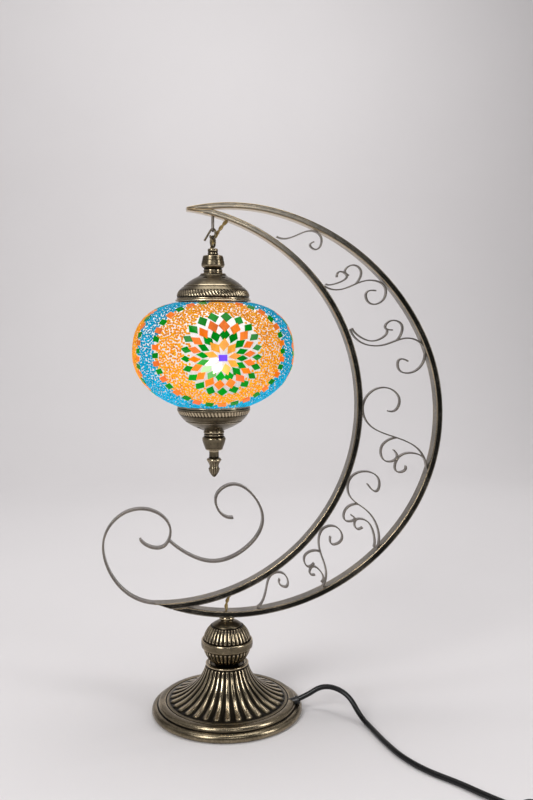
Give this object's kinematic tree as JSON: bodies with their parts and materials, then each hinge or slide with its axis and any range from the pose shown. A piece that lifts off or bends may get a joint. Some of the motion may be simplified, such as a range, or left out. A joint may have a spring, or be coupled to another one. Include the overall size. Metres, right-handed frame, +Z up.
{
  "type": "mosaic glass table lamp",
  "caption": "Table lamp with an oblate mosaic glass lantern hung inside a scrolled crescent frame on a fluted round pedestal.",
  "frame": {"origin": "centre of the base's underside, on the table", "axes": "+Z up; the crescent stands in the XZ plane and opens towards -X; -Y is the front"},
  "size_m": [0.4128, 0.471, 0.5459],
  "materials": {
    "antique_bronze": "antiqued brass plate, dark patina in the hollows",
    "bronze_bar": "bent steel tube with an antique brass finish",
    "iron_weight": "rough cast",
    "felt": "black felt",
    "clear_glass": "clear blown glass",
    "mosaic": "coloured glass tiles and beads in white grout",
    "bulb_glass": "frosted lamp glass",
    "holder": "moulded lamp holder",
    "wire_pvc": "gold-brown insulated lamp wire",
    "cord_pvc": "black flexible cord",
    "black_plastic": "moulded black plastic",
    "steel": "plated steel"
  },
  "bodies": {
    "frame": {"ball_lower": "antique_bronze", "ball_ring": "antique_bronze", "ball_upper": "antique_bronze", "base_shell": "antique_bronze", "base_washer": "steel", "base_weight": "iron_weight", "cord_bush": "black_plastic", "cord_coil": "cord_pvc", "felt_pad": "felt", "hollow_rod": "steel", "inner_bar": "bronze_bar", "mains_cord": "cord_pvc", "neck_collar": "antique_bronze", "outer_bar": "bronze_bar", "plug_body": "black_plastic", "plug_pins": "steel", "rod_nut": "steel", "scroll_bottom_1": "bronze_bar", "scroll_bottom_2": "bronze_bar", "scroll_bottom_3": "bronze_bar", "scroll_foot_1": "bronze_bar", "scroll_lower_1": "bronze_bar", "scroll_lower_2": "bronze_bar", "scroll_lower_3": "bronze_bar", "scroll_middle_1": "bronze_bar", "scroll_middle_2": "bronze_bar", "scroll_middle_3": "bronze_bar", "scroll_right_1": "bronze_bar", "scroll_right_2": "bronze_bar", "scroll_right_3": "bronze_bar", "scroll_top_1": "bronze_bar", "scroll_upper_1": "bronze_bar", "scroll_upper_2": "bronze_bar", "scroll_upper_3": "bronze_bar", "switch_lower": "black_plastic", "switch_upper": "black_plastic", "tail_lower": "bronze_bar", "tail_upper": "bronze_bar", "terminal_block": "holder", "tip_eye": "bronze_bar", "wire_arch": "wire_pvc", "wire_base": "wire_pvc"},
    "hook": {"hang_hook": "antique_bronze", "wire_drop": "wire_pvc"},
    "lantern": {"lantern_loop": "antique_bronze", "canopy_vase": "antique_bronze", "top_cap": "antique_bronze", "top_gallery": "antique_bronze", "globe_glass": "clear_glass", "mosaic_skin": "mosaic", "lamp_socket": "holder", "socket_ring": "holder", "bulb_cap": "steel", "bulb_glass": "bulb_glass", "harp": "steel", "bottom_cap": "antique_bronze", "bottom_vase": "antique_bronze", "finial": "antique_bronze", "finial_stud": "steel"},
    "rocker": {"switch_rocker": "black_plastic"}
  },
  "joints": [
    {"name": "hook_swing", "type": "hinge", "parent": "frame", "child": "hook", "pos_m": [-0.013, 0, 0.5165], "axis": [0.3419, 0.9397, 0], "range_deg": [-15, 15], "deforming": ["wire_drop"]},
    {"name": "lantern_swing", "type": "hinge", "parent": "hook", "child": "lantern", "pos_m": [-0.013, 0, 0.5113], "axis": [0.9397, -0.3419, 0], "range_deg": [-15, 15], "deforming": ["wire_drop"]},
    {"name": "switch_rock", "type": "hinge", "parent": "frame", "child": "rocker", "pos_m": [0.24446, -0.26811, 0.0104], "axis": [-0.829, -0.5592, 0], "range_deg": [-16, 0]}
  ]
}
